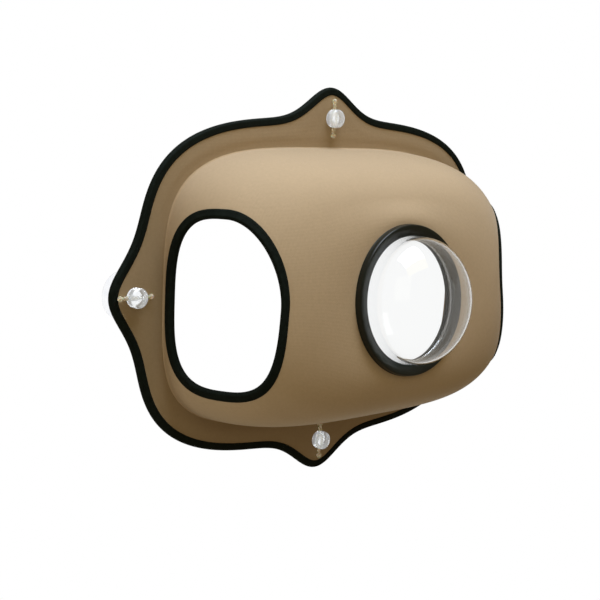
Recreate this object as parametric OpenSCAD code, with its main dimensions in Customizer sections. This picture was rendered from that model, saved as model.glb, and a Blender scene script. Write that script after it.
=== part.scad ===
// Window mounted cat pod: a moulded foam shell on a four-eared panel, held on a
// pane by four suction cups that are locked with barbell pins.
// Millimetres. The pane is the plane y = 0, +Y points through it, +Z is up.
// The pieces are drawn lying down, with the pane at z = 0 and the room above it,
// and to_wall() stands them up.

/* [Pod shell] */
// Width of the pod where it meets the panel
pod_w = 528; // [480:1:580]
// Height of the pod where it meets the panel
pod_h = 350; // [310:1:390]
// Depth of the pod from the panel to the dome's seat, on its axis
pod_d = 151.3; // [135:0.1:165]
// Thickness of the fabric-faced foam
wall = 6; // [4:0.5:9]
// How far the front leans back towards its top, in degrees
front_lean = 6.7; // [0:0.1:9]
// How far the dome's seat leans back, in degrees
seat_lean = 5.5; // [0:0.1:9]
// How far the boss round the dome stands proud of the pod's free curve
boss_rise = 2.1; // [1:0.1:4]
// Width of the sewing lip on the panel
lip_w = 2.5; // [2:0.5:6]
// Thickness of the sewing lip
lip_t = 1.2; // [0.8:0.1:2]

/* [Doorways] */
// Height of a doorway over its binding
door_h = 224; // [180:1:250]
// Distance from the pod's middle height down to the doorway's middle
door_drop = 5; // [0:0.5:15]
// Gap between the panel and the doorway's binding
door_back_margin = 5; // [3:0.5:12]

/* [Binding] */
// Width of the black tape on each face
tape_w = 10; // [8:0.5:15]
// Thickness of the black tape
tape_t = 1; // [0.6:0.1:1.4]

/* [Panel] */
// Thickness of the fabric-faced foam panel
panel_t = 7; // [5:0.5:10]
// Width of the panel's body beside the pod, ears apart
side_border = 36; // [32:0.5:48]
// Height of the panel's body above and below the pod, ears apart
end_border = 38; // [32:0.5:46]
// Distance from the pod's side to a side cup's axis
side_stand_off = 42.4; // [39:0.1:46]
// Distance from the pod's top or bottom to the axis of the cup there
end_stand_off = 38.7; // [37:0.1:44]
// Distance from a side cup's axis to the tip of its ear
side_ear = 31.8; // [31:0.1:42]
// Distance from an end cup's axis to the tip of its ear
end_ear = 39.7; // [34:0.1:48]
// Half width of the bell of an ear
ear_spread = 50; // [44:1:60]

/* [Suction cups] */
// Radius of a cup's rim on the pane
cup_r = 30; // [27:0.5:39]
// Gap between the pane and the panel, with the cups pressed on
cup_gap = 14; // [11:0.5:18]
// Radius of the neck that passes through the panel
neck_r = 7.95; // [6.5:0.05:9]
// Radius of the knob
knob_r = 12; // [10:0.5:14]
// Height of the knob
knob_h = 13.5; // [10:0.5:15]
// Gap between the panel and the knob
knob_rise = 0.6; // [0.3:0.1:1.5]

/* [Retaining pins] */
// Length of a pin over its ball ends
pin_l = 50.6; // [46:0.2:54]
// Radius of a pin's rod
pin_r = 2.45; // [1.8:0.05:2.7]
// Radius of a ball end
ball_r = 3.3; // [3:0.1:3.7]
// Gap between the panel's tape and a pin's balls
pin_rise = 0.4; // [0.3:0.1:1.5]

/* [Dome] */
// Outer radius of the clear dome
dome_r = 78.8; // [70:0.1:82]
// Height of the dome's straight skirt above its seat
dome_skirt = 18.5; // [14:0.5:28]
// Height of the dome's cap above the skirt
dome_rise = 51.5; // [36:0.5:60]
// Thickness of the clear plastic
dome_t = 2.5; // [1.8:0.1:3.5]
// Width of the rim that is clamped under the ring
rim_w = 7; // [5:0.5:8]
// Distance from the pod's middle height down to the dome's axis
dome_drop = 4.2; // [0:0.1:8]

/* [Dome rings] */
// Width of the outer ring on the pod's face, beyond the dome's rim
ring_w = 8.4; // [7:0.1:10]
// Height of the outer ring
ring_h = 9; // [7.5:0.5:12]
// Thickness of the inner ring's flange
inner_ring_t = 3; // [2.5:0.5:5]
// Number of screws that clamp the rings
screw_count = 8; // [4:1:12]
// Radius of a screw's shank
screw_r = 1.45; // [1.2:0.05:1.6]

/* [Floor cushion] */
// Width of the loose cushion
cushion_w = 372; // [320:1:400]
// Depth of the cushion, from the pane's side to the front
cushion_d = 104; // [90:1:116]
// Height of the cushion's crown over its bed
cushion_h = 34; // [24:1:44]
// Number of sewn channels across the cushion
channel_count = 6; // [3:1:9]
// Depth of a sewn channel
channel_depth = 4; // [2:0.5:6]

/* [Hidden] */
$fn = 96;

// Small values shared by all pieces
// How far a cutter runs past the face that it cuts
overrun = 1;
// Radial clearance of a turning or sliding fit
fit = 0.05;
// Gap between loose pieces, and between stacked rigid ones
gap = 0.3;
seat_gap = 0.05;

// Curves of the pod, as exponents and shares of its depth
side_edge_share = 7.2;
side_curve_share = 2.08;
end_edge_share = 5.7;
end_curve_share = 1.74;
base_corner_share = 3.8;
front_corner_share = 2.24;
corner_blend_share = 3.93;
// Where the free curve ends and the boss begins
boss_from_share = 0.93;
door_front_share = 0.953;
// Corner exponents of a doorway: front top, back top, back bottom, front bottom
door_corner_shares = [1.95, 2.9, 3.0, 3.0];
// How much narrower the tape looks, square to the doorway, at its front edge
door_squeeze_share = 0.33;
// Length of a doorway's cutter, and where the pod's left end starts, as a share of the turn
door_cut_share = 0.6;
end_from_share = 0.34;
panel_corner_share = 3.5;
cushion_corner_share = 3.4;
cushion_side_share = 2.6;
// How the cushion's bed rounds off to its edge, and how sharp its sewn channels are
cushion_bed_share = 0.5;
channel_edge_share = 8;

// Outer ring, from its thin base lip to its mouth, as shares of its width and height
ring_shares = [[0, 0.14], [0.03, 0.16], [0.05, 0.84], [0.12, 0.97], [0.22, 1], [0.4, 0.96],
    [0.96, 0.72], [1, 0.6]];
// Depth of the screws' pilot holes, as a share of the outer ring's height
pilot_share = 0.6;
// Screw head's radius and height and the tip, as shares of the shank's radius
head_r_share = 2;
head_h_share = 1.2;
tip_share = 0.35;
// Flat of a screw head, and length of its cross recess, as shares of the head's radius
head_flat_share = 0.7;
recess_share = 1.2;

// Cup's underside and its skirt, as shares of its radius and of its gap to the panel
cup_under_shares = [[0, 0.16], [0.6, 0.11], [0.84, 0]];
cup_skirt_shares = [[1, 0], [1, 0.08], [0.84, 0.18], [0.62, 0.34], [0.45, 0.52]];
// Where the collar under the panel starts, as a share of the gap
collar_share = 0.68;
// Rounding of a knob's edges, as a share of its radius
knob_edge_share = 0.25;
// Waist of a retaining pin beside its balls, as a share of the rod
waist_share = 0.65;

// Steps round and along the curved surfaces
around = 64;
free_rows = 11;
boss_rows = 4;
rows = free_rows + boss_rows;
door_steps = 44;
panel_steps = 120;
// Share by which the panel's points gather at its ears
ear_gather_share = 0.5;
cushion_cols = 30;
cushion_rows = 12;

// Levels above the pane
panel_back = cup_gap;
panel_front = panel_back + panel_t;
full_d = pod_d - boss_rise;
pin_level = panel_front + tape_t + pin_rise + ball_r;

// Half sizes
pod_a = pod_w / 2;
pod_b = pod_h / 2;
cup_x = pod_a + side_stand_off;
cup_y = pod_b + end_stand_off;
panel_a = cup_x + side_ear;
panel_b = cup_y + end_ear;
rim_r = dome_r + rim_w;
ring_r = rim_r + ring_w;
// The boss's flat reaches a little past the outer ring
boss_r = ring_r + boss_rise;

// Stands a piece up: the room is towards -Y and the drawing's y becomes +Z
module to_wall() {
    rotate([90, 0, 0]) children();
}

// Outlines

function signed_pow(v, p) = sign(v) * pow(abs(v), p);

function unit(v) = v / norm(v);

// Superellipse point at angle t, spaced closely at the corners
function super_point(t, a, b, e) = [a * signed_pow(cos(t), 2 / e), b * signed_pow(sin(t), 2 / e)];

// Superellipse radius in the direction t
function super_radius(t, a, b, e) = pow(pow(abs(cos(t)) / a, e) + pow(abs(sin(t)) / b, e), -1 / e);

function polar(t, r) = [r * cos(t), r * sin(t)];

// Outward normal at point i of a closed anticlockwise outline
function normal_at(pts, i) =
    let (n = len(pts), d = unit(pts[(i + 1) % n] - pts[(i + n - 1) % n]))
    [d[1], -d[0]];

// Outline moved inwards by a distance, or by a list of distances
function inset(pts, by) =
    [for (i = [0 : len(pts) - 1]) pts[i] - normal_at(pts, i) * (is_list(by) ? by[i] : by)];

// Panel outline: a rounded rectangle whose four ears are bells
function bell(s) = exp(-s * s);

function panel_angle(i) =
    let (t = i * 360 / panel_steps)
    t - ear_gather_share * 45 / PI * sin(4 * t);

function panel_outline() =
    let (a = pod_a + side_border, b = pod_b + end_border)
    [for (i = [0 : panel_steps - 1])
        let (t = panel_angle(i), p = polar(t, super_radius(t, a, b, panel_corner_share)))
        [p[0] + sign(cos(t)) * (panel_a - a) * bell(p[1] / ear_spread),
         p[1] + sign(sin(t)) * (panel_b - b) * bell(p[0] / ear_spread)]];

panel_edge = panel_outline();

// Pod surface: a free curve on which u runs from 0 at the panel to boss_from_share, and
// from there a boss that flattens into the dome's seat
function half_w(u) = pod_a * pow(1 - pow(u, side_curve_share), 1 / side_edge_share);

function half_h(u) = pod_b * pow(1 - pow(u, end_curve_share), 1 / end_edge_share);

function corner(u) =
    base_corner_share + (front_corner_share - base_corner_share) * pow(u, corner_blend_share);

function row_u(k) = boss_from_share * sin(90 * k / free_rows);

function pod_level(u, y) = panel_front + u * (full_d - tan(front_lean) * y);

function pod_point(u, t) =
    let (p = super_point(t, half_w(u), half_h(u), corner(u)))
    [p[0], p[1], pod_level(u, p[1])];

free_part = [for (k = [0 : free_rows])
    [for (i = [0 : around - 1]) pod_point(row_u(k), (i + 0.5) * 360 / around)]];

// Direction in the dome's seat, a turn t from +X
function seat_way(t) = [cos(t), sin(t) * cos(seat_lean), -sin(t) * sin(seat_lean)];

seat_middle = [0, -dome_drop, panel_front + pod_d];

// Point of the boss at s, from 0 on the free curve's end to 1 on the seat's circle
function boss_point(i, s) =
    let (
        from = free_part[free_rows][i],
        way = seat_way(atan2(from[1] + dome_drop, from[0])),
        to = seat_middle + boss_r * way,
        pull = norm(to - from) / 3,
        a = from + pull * unit(from - free_part[free_rows - 1][i]),
        b = to + pull * way,
        q = 1 - s
    )
    q * q * q * from + 3 * q * q * s * a + 3 * q * s * s * b + s * s * s * to;

pod_rows = concat(free_part,
    [for (k = [1 : boss_rows]) [for (i = [0 : around - 1]) boss_point(i, k / boss_rows)]]);

function pod_normal(k, i) =
    let (
        a = pod_rows[k][(i + 1) % around] - pod_rows[k][(i + around - 1) % around],
        b = pod_rows[min(k + 1, rows)][i] - pod_rows[max(k - 1, 0)][i]
    )
    unit(cross(a, b));

// Pod surface moved outwards by off, its seat moved along the dome's axis
seat_normal = [0, sin(seat_lean), cos(seat_lean)];

function moved_point(k, i, off) =
    let (q = pod_rows[k][i] + off * (k == rows ? seat_normal : pod_normal(k, i)))
    k == 0 ? [q[0], q[1], panel_front] : q;

// The base's points, moved outwards by off and down by sink
function sunk_point(i, off, sink) = moved_point(0, i, off) - [0, 0, sink];

// Square between two rings, listed clockwise from outside and cut along a diagonal that
// the pod's left and right halves mirror
function wall_square(a, b, c, d, i) =
    pod_rows[0][i][0] > 0 ? [[c, b, a], [d, c, a]] : [[d, b, a], [d, c, b]];

// Closed body over rings of n points, the first of them in column from
function ring_faces(rings, n, from) = concat(
    [[for (i = [0 : n - 1]) i]],
    [for (k = [0 : rings - 2], i = [0 : n - 1])
        let (a = k * n + i, b = k * n + (i + 1) % n)
        each wall_square(a, b, b + n, a + n, from + i)],
    [[for (i = [n - 1 : -1 : 0]) (rings - 1) * n + i]]
);

// Body under the moved surface, whole or between two of its columns, sunk at its base
module pod_body(off, sink, from = 0, to = around - 1) {
    pts = concat(
        sink > 0 ? [for (i = [from : to]) sunk_point(i, off, sink)] : [],
        [for (k = [0 : rows], i = [from : to]) moved_point(k, i, off)]
    );
    n = to - from + 1;
    polyhedron(pts, ring_faces(len(pts) / n, n, from));
}

function flat_row(off) = [for (i = [0 : around - 1])
    let (q = moved_point(0, i, off)) [q[0], q[1]]];

// Doorway: a rounded outline across the chord from the panel to the front edge
door_back_u = door_back_margin / full_d;
door_back_at = [-half_w(door_back_u), door_back_u * full_d];
door_front_at = [-half_w(door_front_share), door_front_share * full_d];
door_chord = door_front_at - door_back_at;
door_turn = atan2(door_chord[0], door_chord[1]);
door_half_w = norm(door_chord) / 2;
door_middle = (door_back_at + door_front_at) / 2;

function door_quadrant(t) = floor(t / 90);

function door_outline() = [for (i = [0 : door_steps - 1])
    let (t = (i + 0.5) * 360 / door_steps, e = door_corner_shares[door_quadrant(t)])
    polar(t, super_radius(t, door_half_w, door_h / 2, e))];

door_edge = door_outline();

// Inset of the tape as seen square to the doorway, less at the front edge
function door_inset(by) = [for (i = [0 : door_steps - 1])
    let (c = max(0, cos((i + 0.5) * 360 / door_steps)))
    by * (1 - door_squeeze_share * c * c)];

module at_left_door() {
    translate([door_middle[0], -door_drop, panel_front + door_middle[1]])
        rotate([0, door_turn - 90, 0]) children();
}

// A prism through the left doorway's wall, long enough for the shoulder
module door_prism(outline) {
    at_left_door() linear_extrude(2 * door_half_w * door_cut_share, center = true) polygon(outline);
}

door_hole = inset(door_edge, door_inset(tape_w - tape_t));
door_mouth = inset(door_edge, door_inset(tape_w));

// Dome seat: local z runs out of the pod's front along the dome's axis
module at_dome() {
    translate(seat_middle) rotate([-seat_lean, 0, 0]) children();
}

rim_t = dome_t;
shell_hole_r = rim_r + gap;
screw_circle_r = rim_r + ring_w / 2;
pilot_depth = ring_h * pilot_share;

module at_screws() {
    for (i = [0 : screw_count - 1])
        rotate(i * 360 / screw_count) translate([screw_circle_r, 0, 0]) children();
}

// Places of the cups, each with the direction of its ear
module at_top() translate([0, cup_y, 0]) children();
module at_bottom() translate([0, -cup_y, 0]) rotate(180) children();
module at_left() translate([-cup_x, 0, 0]) rotate(90) children();
module at_right() translate([cup_x, 0, 0]) rotate(-90) children();

// Panel

module back_panel() {
    color("tan") to_wall() difference() {
        translate([0, 0, panel_back]) linear_extrude(panel_t) polygon(inset(panel_edge, tape_t));
        translate([0, 0, panel_back - overrun])
            linear_extrude(panel_t + 2 * overrun) polygon(flat_row(-wall));
        for (x = [-cup_x, cup_x]) translate([x, 0, panel_back - overrun])
            cylinder(h = panel_t + 2 * overrun, r = neck_r + fit);
        for (y = [-cup_y, cup_y]) translate([0, y, panel_back - overrun])
            cylinder(h = panel_t + 2 * overrun, r = neck_r + fit);
    }
}

// Tape folded round the panel's edge: a U whose outer corners are round
edge_round = 2 * tape_t;

// Points [inset from the outer edge, level], from the front leg round to the back leg
tape_section = concat(
    [[tape_w, panel_front], [tape_w, panel_front + tape_t / 2], [tape_w - tape_t, panel_front + tape_t]],
    [for (t = [90 : -30 : 0])
        [edge_round * (1 - cos(t)), panel_front + tape_t - edge_round * (1 - sin(t))]],
    [for (t = [0 : 30 : 90])
        [edge_round * (1 - cos(t)), panel_back - tape_t + edge_round * (1 - sin(t))]],
    [[tape_w - tape_t, panel_back - tape_t], [tape_w, panel_back - tape_t / 2], [tape_w, panel_back]],
    [[tape_t, panel_back], [tape_t, panel_front]]
);

module panel_binding() {
    m = len(tape_section);
    n = panel_steps;
    insets = [for (s = tape_section) inset(panel_edge, s[0])];
    pts = [for (i = [0 : n - 1], j = [0 : m - 1]) [insets[j][i][0], insets[j][i][1], tape_section[j][1]]];
    color([0.09, 0.09, 0.08]) to_wall() polyhedron(pts, concat(
        [for (i = [0 : n - 1], j = [0 : m - 1])
            [i * m + j, i * m + (j + 1) % m, ((i + 1) % n) * m + (j + 1) % m]],
        [for (i = [0 : n - 1], j = [0 : m - 1])
            [i * m + j, ((i + 1) % n) * m + (j + 1) % m, ((i + 1) % n) * m + j]]
    ));
}

// Pod

module pod_lip() {
    translate([0, 0, panel_front]) linear_extrude(lip_t) difference() {
        polygon(flat_row(lip_w));
        polygon(flat_row(-wall / 2));
    }
}

module pod_shell() {
    color([0.78, 0.66, 0.52]) to_wall() difference() {
        union() {
            pod_body(0, 0);
            pod_lip();
        }
        pod_body(-wall, overrun);
        door_prism(door_hole);
        mirror([1, 0, 0]) door_prism(door_hole);
        at_dome() {
            translate([0, 0, -wall - overrun]) cylinder(h = wall + 2 * overrun, r = shell_hole_r);
            at_screws() translate([0, 0, -wall - overrun])
                cylinder(h = wall + 2 * overrun, r = screw_r + fit, $fn = 24);
        }
    }
}

// The pod's left end, between the columns that lie past the doorway
module left_end(off, sink) {
    pod_body(off, sink, floor(around * end_from_share), ceil(around * (1 - end_from_share)) - 1);
}

// Tape folded round a doorway's edge, hugging both faces of the wall
module doorway_binding() {
    difference() {
        intersection() {
            left_end(tape_t, 0);
            difference() {
                door_prism(door_edge);
                door_prism(door_mouth);
            }
        }
        left_end(-wall - tape_t, overrun);
        difference() {
            left_end(0, overrun);
            left_end(-wall, 2 * overrun);
            door_prism(door_hole);
        }
    }
}

module left_doorway_binding() {
    color([0.09, 0.09, 0.08]) to_wall() doorway_binding();
}

module right_doorway_binding() {
    color([0.09, 0.09, 0.08]) to_wall() mirror([1, 0, 0]) doorway_binding();
}

// Dome and its rings, in the dome's own frame

ring_mouth_r = dome_r + gap;
ring_across = ring_r - ring_mouth_r;

module dome_outer_ring() {
    color([0.13, 0.13, 0.12]) to_wall() at_dome() difference() {
        rotate_extrude() polygon(concat(
            [[rim_r + seat_gap, 0], [ring_r, 0]],
            [for (s = ring_shares) [ring_r - s[0] * ring_across, s[1] * ring_h]],
            [[ring_mouth_r, rim_t + seat_gap], [rim_r + seat_gap, rim_t + seat_gap]]
        ));
        at_screws() translate([0, 0, -overrun])
            cylinder(h = pilot_depth + overrun, r = screw_r + fit, $fn = 24);
    }
}

module bubble_dome() {
    color([0.9, 0.94, 0.95, 0.35]) to_wall() at_dome() rotate_extrude() difference() {
        union() {
            translate([0, dome_skirt]) dome_arc(dome_r, dome_rise);
            square([dome_r, dome_skirt]);
            square([rim_r, rim_t]);
        }
        translate([0, dome_skirt]) dome_arc(dome_r - dome_t, dome_rise - dome_t);
        translate([0, -overrun]) square([dome_r - dome_t, dome_skirt + overrun]);
    }
}

// Quarter of an ellipse, drawn as a fine outline
function dome_curve(r, rise) = [for (t = [0 : 3 : 90]) [r * cos(t), rise * sin(t)]];

module dome_arc(r, rise) {
    polygon(concat([[0, 0]], dome_curve(r, rise)));
}

// Inner ring: how far it reaches past the outer one, its edge and its spigot's thickness
flange_reach = 1.6;
flange_edge = 0.8;
spigot_t = 4.5;
inner_ring_r = ring_r + flange_reach;

module dome_inner_ring() {
    color([0.13, 0.13, 0.12]) to_wall() at_dome() difference() {
        rotate_extrude() polygon([
            [ring_mouth_r, -wall - inner_ring_t],
            [inner_ring_r - flange_edge, -wall - inner_ring_t],
            [inner_ring_r, -wall - inner_ring_t + flange_edge],
            [inner_ring_r, -wall],
            [rim_r, -wall],
            [rim_r, -seat_gap],
            [rim_r - spigot_t, -seat_gap],
            [rim_r - spigot_t, -wall],
            [ring_mouth_r, -wall]
        ]);
        at_screws() translate([0, 0, -wall - inner_ring_t - overrun])
            cylinder(h = inner_ring_t + 2 * overrun, r = screw_r + fit, $fn = 24);
    }
}

screw_head_r = screw_r * head_r_share;
screw_head_h = screw_r * head_h_share;
screw_end = wall + inner_ring_t + pilot_depth - screw_r;

module ring_screws() {
    color("dimgray") to_wall() at_dome() at_screws()
        translate([0, 0, -wall - inner_ring_t]) difference() {
            rotate_extrude($fn = 24) polygon([
                [0, -screw_head_h],
                [screw_head_r * head_flat_share, -screw_head_h],
                [screw_head_r, -screw_head_h / 2],
                [screw_head_r, 0],
                [screw_r, 0],
                [screw_r, screw_end - screw_r],
                [screw_r * tip_share, screw_end],
                [0, screw_end]
            ]);
            // Cross recess
            for (a = [0, 90]) rotate(a) translate([0, 0, -screw_head_h])
                cube([screw_head_r * recess_share, screw_r / 2, screw_head_h], center = true);
        }
}

// Floor cushion: a crowned pad that lies on the shell's lower wall

// Clearance of the cushion's bed, which bridges the hollow of the floor between its points
cushion_lift = 1.2;
cushion_front = panel_back + panel_t + cushion_d;

// Height of the shell's inner face under a place
function floor_y(x, z) =
    let (
        u = max(0, (z - panel_front) / (full_d + tan(front_lean) * pod_b)),
        a = half_w(u) - wall,
        b = half_h(u) - wall,
        e = corner(u)
    )
    -b * pow(1 - pow(min(abs(x) / a, 1), e), 1 / e);

// Distance from the cushion's middle, 1 on its rounded outline
function pad_reach(s, t) =
    pow(pow(abs(s), cushion_corner_share) + pow(abs(t), cushion_corner_share), 1 / cushion_corner_share);

// Share of the crown's height, which falls to nothing at the cushion's edge
function crown_share(s, t) =
    pow(max(0, 1 - pow(pad_reach(s, t), cushion_side_share)), 1 / cushion_side_share);

function channel_cut(s) = pow(abs(cos(90 * channel_count * (s + 1))), channel_edge_share);

// Points spaced closely at the cushion's edge
function edge_spaced(i, n) = sin(-90 + 180 * i / n);

module floor_cushion() {
    nx = cushion_cols;
    nz = cushion_rows;
    mid = (cushion_front + panel_back) / 2;
    half = (cushion_front - panel_back) / 2;
    bead = cushion_h / 2;
    // Square grid pressed into the rounded outline
    function place(i, j) =
        let (
            s = edge_spaced(i, nx),
            t = edge_spaced(j, nz),
            m = max(abs(s), abs(t)),
            r = pad_reach(s, t)
        )
        r == 0 ? [0, 0] : [s * m / r, t * m / r];
    function top_point(i, j) =
        let (p = place(i, j), x = p[0] * cushion_w / 2, z = mid + p[1] * half)
        [x, floor_y(x, z) + cushion_lift + bead * (1 + crown_share(p[0], p[1]))
            - channel_depth * channel_cut(p[0]) * crown_share(p[0], p[1]), z];
    function bed_point(i, j) =
        let (p = place(i, j), x = p[0] * cushion_w / 2, z = mid + p[1] * half)
        [x, floor_y(x, z) + cushion_lift + bead * (1 - pow(crown_share(p[0], p[1]), cushion_bed_share)), z];
    n = (nx + 1) * (nz + 1);
    function id(i, j) = i * (nz + 1) + j;
    function on_edge(i, j) = i == 0 || i == nx || j == 0 || j == nz;
    // The bed's edge points are the top's own
    function bed_id(i, j) = on_edge(i, j) ? id(i, j) : n + id(i, j);
    pts = concat(
        [for (i = [0 : nx], j = [0 : nz]) top_point(i, j)],
        [for (i = [0 : nx], j = [0 : nz]) bed_point(i, j)]
    );
    // Each square is cut along the diagonal that points to the cushion's middle
    function cut_square(a, b, c, d, i, j) =
        (2 * i < nx) == (2 * j < nz) ? [[a, b, c], [a, c, d]] : [[a, b, d], [b, c, d]];
    tops = [for (i = [0 : nx - 1], j = [0 : nz - 1]) each
        cut_square(id(i, j), id(i + 1, j), id(i + 1, j + 1), id(i, j + 1), i, j)];
    beds = [for (i = [0 : nx - 1], j = [0 : nz - 1]) each
        cut_square(bed_id(i, j), bed_id(i + 1, j), bed_id(i + 1, j + 1), bed_id(i, j + 1), i, j)];
    color([0.93, 0.91, 0.88]) to_wall()
        polyhedron(pts, concat(tops, [for (f = beds) [f[2], f[1], f[0]]]));
}

// Suction cup, its axis on z: rim on the pane, neck through the panel, knob in the room

knob_level = panel_front + knob_rise;
knob_edge = knob_r * knob_edge_share;

module suction_cup() {
    color([0.88, 0.91, 0.92, 0.6]) difference() {
        rotate_extrude() polygon(concat(
            [for (s = concat(cup_under_shares, cup_skirt_shares)) [cup_r * s[0], cup_gap * s[1]]],
            [[knob_r, cup_gap * collar_share], [knob_r, cup_gap - 2 * seat_gap]],
            [[neck_r, cup_gap - 2 * seat_gap], [neck_r, knob_level]],
            [for (t = [-90 : 15 : 90])
                [knob_r - knob_edge * (1 - cos(t)),
                 knob_level + (t < 0 ? knob_edge : knob_h - knob_edge) + knob_edge * sin(t)]],
            [[0, knob_level + knob_h]]
        ));
        // Cross hole for the retaining pin
        translate([0, 0, pin_level]) rotate([90, 0, 0])
            cylinder(h = 2 * (knob_r + overrun), r = pin_r + fit, center = true, $fn = 48);
    }
}

module top_suction_cup() to_wall() at_top() suction_cup();
module bottom_suction_cup() to_wall() at_bottom() suction_cup();
module left_suction_cup() to_wall() at_left() suction_cup();
module right_suction_cup() to_wall() at_right() suction_cup();

// Barbell pin, its middle on the cup's axis and its length along the ear

waist_r = pin_r * waist_share;
rod_half = pin_l / 2 - 2 * ball_r - waist_r;

// Profile from a rod's middle to its ball end, as [radius, distance]
half_pin = concat(
    [[pin_r, rod_half - waist_r / 2], [waist_r, rod_half]],
    [for (t = [-60 : 15 : 75]) [ball_r * cos(t), pin_l / 2 - ball_r + ball_r * sin(t)]],
    [[0, pin_l / 2]]
);

module retaining_pin() {
    n = len(half_pin);
    other_half = [for (i = [n - 1 : -1 : 0]) [half_pin[i][0], -half_pin[i][1]]];
    color([0.9, 0.87, 0.78]) translate([0, 0, pin_level]) rotate([-90, 0, 0])
        rotate_extrude($fn = 48) polygon(concat(other_half, half_pin));
}

module top_retaining_pin() to_wall() at_top() retaining_pin();
module bottom_retaining_pin() to_wall() at_bottom() retaining_pin();
module left_retaining_pin() to_wall() at_left() retaining_pin();
module right_retaining_pin() to_wall() at_right() retaining_pin();

back_panel();
panel_binding();
pod_shell();
left_doorway_binding();
right_doorway_binding();
dome_outer_ring();
bubble_dome();
dome_inner_ring();
ring_screws();
floor_cushion();
top_suction_cup();
bottom_suction_cup();
left_suction_cup();
right_suction_cup();
top_retaining_pin();
bottom_retaining_pin();
left_retaining_pin();
right_retaining_pin();
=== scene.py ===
"""Window pod: a fabric-faced foam shell on an eared panel, with taped edges, a clear dome
in a dark ring, a fleece pad, and clear suction cups locked with barbell pins."""
import math
from contextlib import contextmanager

import bmesh
import bpy
import numpy as np
from bpy.props import FloatProperty, FloatVectorProperty, IntProperty, PointerProperty
from bpy.types import Operator, Panel, PropertyGroup
from mathutils import Matrix, Vector
from mathutils.bvhtree import BVHTree


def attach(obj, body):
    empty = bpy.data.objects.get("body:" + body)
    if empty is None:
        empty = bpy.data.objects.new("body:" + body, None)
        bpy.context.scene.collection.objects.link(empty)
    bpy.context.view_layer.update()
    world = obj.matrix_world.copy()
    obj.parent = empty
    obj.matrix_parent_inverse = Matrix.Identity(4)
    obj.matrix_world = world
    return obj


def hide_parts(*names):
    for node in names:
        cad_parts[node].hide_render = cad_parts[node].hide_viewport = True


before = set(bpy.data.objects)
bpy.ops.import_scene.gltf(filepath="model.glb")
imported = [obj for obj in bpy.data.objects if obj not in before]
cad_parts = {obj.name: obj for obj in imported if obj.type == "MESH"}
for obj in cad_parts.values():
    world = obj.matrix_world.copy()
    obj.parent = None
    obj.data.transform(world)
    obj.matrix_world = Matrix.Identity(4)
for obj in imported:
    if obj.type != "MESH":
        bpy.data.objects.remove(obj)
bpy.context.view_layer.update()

bl_info = {
    "name": "Window pod",
    "version": (1, 0, 0),
    "blender": (4, 5, 0),
    "location": "View3D > Sidebar > Window pod",
    "description": "Dresses a window mounted pod: fabric shell, taped edges, clear dome, cups and pins",
    "category": "Object",
}

MM = 0.001
# Distances under which points of a piece, ends of an edge, and points beside a cut are one
SAME_POINT, NO_EDGE, CUT_POINT = 2e-6, 1e-7, 2e-5

# Curves of the pod, as exponents and shares of its depth
SIDE_EDGE, SIDE_CURVE = 7.2, 2.08
END_EDGE, END_CURVE = 5.7, 1.74
BASE_CORNER, FRONT_CORNER, CORNER_BLEND = 3.8, 2.24, 3.93
BOSS_FROM, DOOR_FRONT = 0.93, 0.953
DOOR_CORNERS = (1.95, 2.9, 3.0, 3.0)
DOOR_SQUEEZE = 0.33
PANEL_CORNER = 3.5
EAR_GATHER = 0.5
CUSHION_CORNER, CUSHION_SIDE = 3.4, 2.6

SIDES = ("top", "bottom", "left", "right")
EAR_TURNS = {"top": 0, "bottom": 180, "left": 90, "right": -90}

# Stands a drawing up: its y becomes height, and its z comes out into the room
TO_WALL = Matrix(((1, 0, 0, 0), (0, 0, -1, 0), (0, 1, 0, 0), (0, 0, 0, 1)))


def length(name, description, default):
    return FloatProperty(name=name, description=description, default=default, unit="LENGTH",
                         precision=4, min=0.0)


def lean(name, description, default):
    return FloatProperty(name=name, description=description + ", in degrees", default=default)


def colour(name, description, default):
    return FloatVectorProperty(name=name, description=description, default=default,
                               subtype="COLOR", size=3, min=0.0, max=1.0)


class PodSizes(PropertyGroup):
    """Sizes of the moulded shell and of the boss that carries the dome"""
    width: length("Width", "Width where the pod meets the panel", 0.528)
    height: length("Height", "Height where the pod meets the panel", 0.350)
    depth: length("Depth", "Depth from the panel to the dome's seat", 0.1513)
    boss: length("Boss", "How far the boss stands proud of the free curve", 0.0021)
    wall: length("Wall", "Thickness of the fabric-faced foam", 0.006)
    lip: length("Lip width", "Width of the sewing lip on the panel", 0.0012)
    lip_height: length("Lip height", "Height of the sewing lip", 0.0012)
    front_lean: lean("Front lean", "Backward lean of the front", 6.7)
    seat_lean: lean("Seat lean", "Backward lean of the dome's seat", 5.5)


class DoorSizes(PropertyGroup):
    """Sizes of the two doorways and of the tape round their edges"""
    height: length("Height", "Height of a doorway over its binding", 0.224)
    drop: length("Drop", "From the pod's middle height down to the doorway's middle", 0.005)
    margin: length("Back margin", "Gap between the panel and the doorway's binding", 0.0042)
    tape: length("Tape width", "Width of the tape on each face", 0.010)
    tape_thickness: length("Tape thickness", "Thickness of the tape", 0.001)


class PanelSizes(PropertyGroup):
    """Sizes of the eared panel"""
    back: length("Back level", "Distance from the pane to the panel", 0.014)
    thickness: length("Thickness", "Thickness of the foam panel", 0.007)
    side_border: length("Side border", "Panel beside the pod, ears apart", 0.036)
    end_border: length("End border", "Panel above and below the pod, ears apart", 0.038)
    side_stand_off: length("Side stand-off", "From the pod's side to a side cup's axis", 0.0424)
    end_stand_off: length("End stand-off", "From the pod's top or bottom to an end cup's axis", 0.0387)
    side_ear: length("Side ear", "From a side cup's axis to the tip of its ear", 0.0318)
    end_ear: length("End ear", "From an end cup's axis to the tip of its ear", 0.0397)
    ear_spread: length("Ear spread", "Half width of the bell of an ear", 0.050)
    puff: length("Puff", "How far the foam swells between its seams", 0.0009)


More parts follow.
